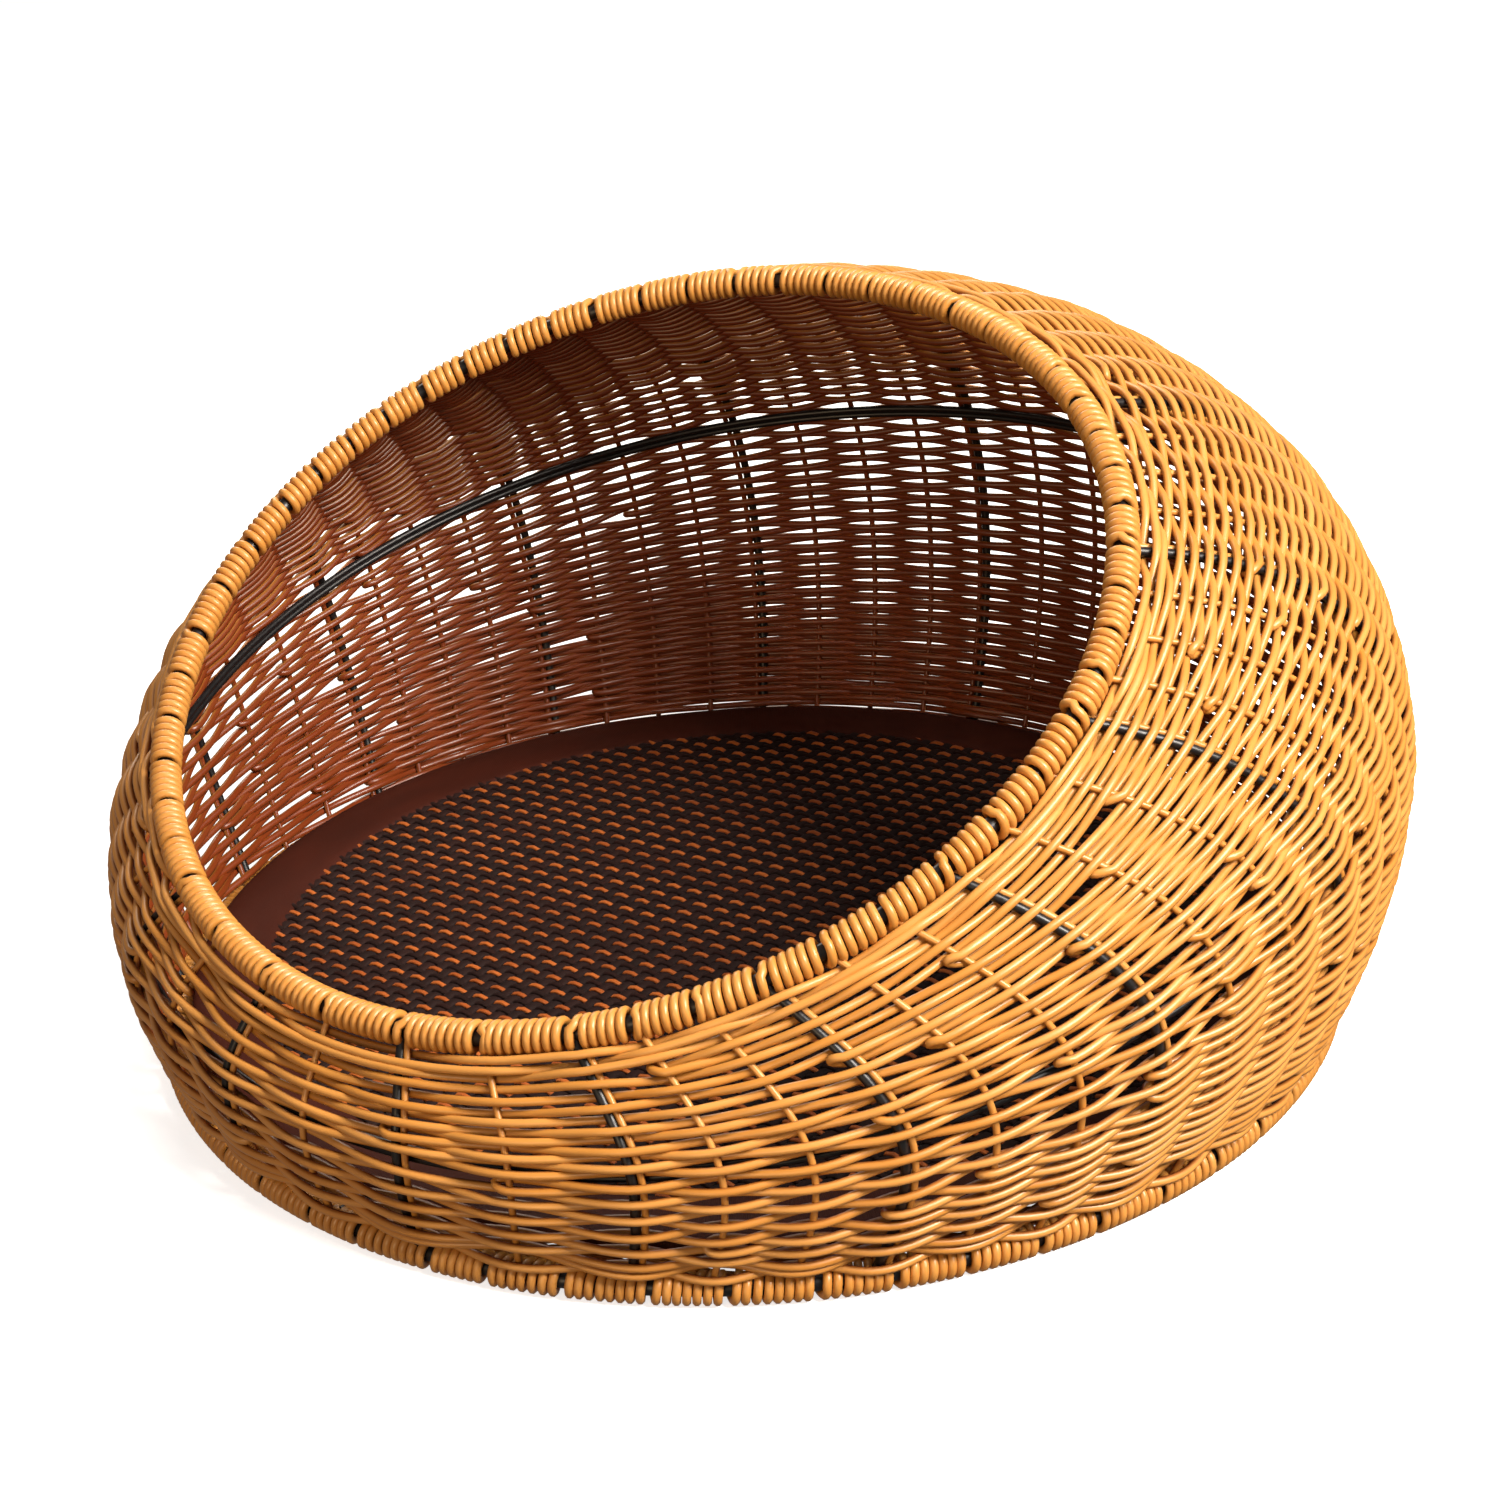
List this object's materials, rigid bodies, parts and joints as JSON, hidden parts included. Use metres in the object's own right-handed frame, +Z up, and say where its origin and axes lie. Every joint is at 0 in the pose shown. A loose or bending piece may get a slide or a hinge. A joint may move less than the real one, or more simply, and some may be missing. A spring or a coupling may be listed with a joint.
{
  "type": "wicker pet bed basket",
  "caption": "Low round woven pet bed with a slanted oval mouth, a wire frame wound with plastic wicker, and a loose round woven floor mat.",
  "frame": {"origin": "centre of the footprint of the whole basket, on the floor plane", "axes": "+Z up; the low side of the slanted mouth faces -Y; +X is to the right of a viewer who faces the mouth"},
  "size_m": [0.5188, 0.5002, 0.2683],
  "materials": {
    "frame_wire": "black powder coat, satin",
    "wicker_strand": "extruded round strand, satin gloss, honey tan",
    "mat_weave": "woven mat, dark brown with orange-brown floats",
    "mat_edge": "plain bound edge, dark brown"
  },
  "bodies": {
    "basket": {"base_ring": "frame_wire", "mouth_ring": "frame_wire", "hoop_upper_wire": "frame_wire", "hoop_lower_wire": "frame_wire", "floor_bar_side_to_side": "frame_wire", "floor_bar_front_to_back": "frame_wire", "rib_01": "frame_wire", "rib_02": "frame_wire", "rib_03": "frame_wire", "rib_04": "frame_wire", "rib_05": "frame_wire", "rib_06": "frame_wire", "rib_07": "frame_wire", "rib_08": "frame_wire", "rib_09": "frame_wire", "rib_10": "frame_wire", "rib_11": "frame_wire", "rib_12": "frame_wire", "rib_13": "frame_wire", "rib_14": "frame_wire", "rib_15": "frame_wire", "rib_16": "frame_wire", "base_whipping": "wicker_strand", "mouth_whipping": "wicker_strand", "woven_wall": "wicker_strand", "woven_floor": "wicker_strand"},
    "mat": {"mat_panel": "mat_weave", "mat_binding": "mat_edge"}
  },
  "joints": [
    {"name": "mat_lift", "type": "slide", "parent": "basket", "child": "mat", "axis": [0, 0, 1], "range_m": [0, 0.05]}
  ]
}
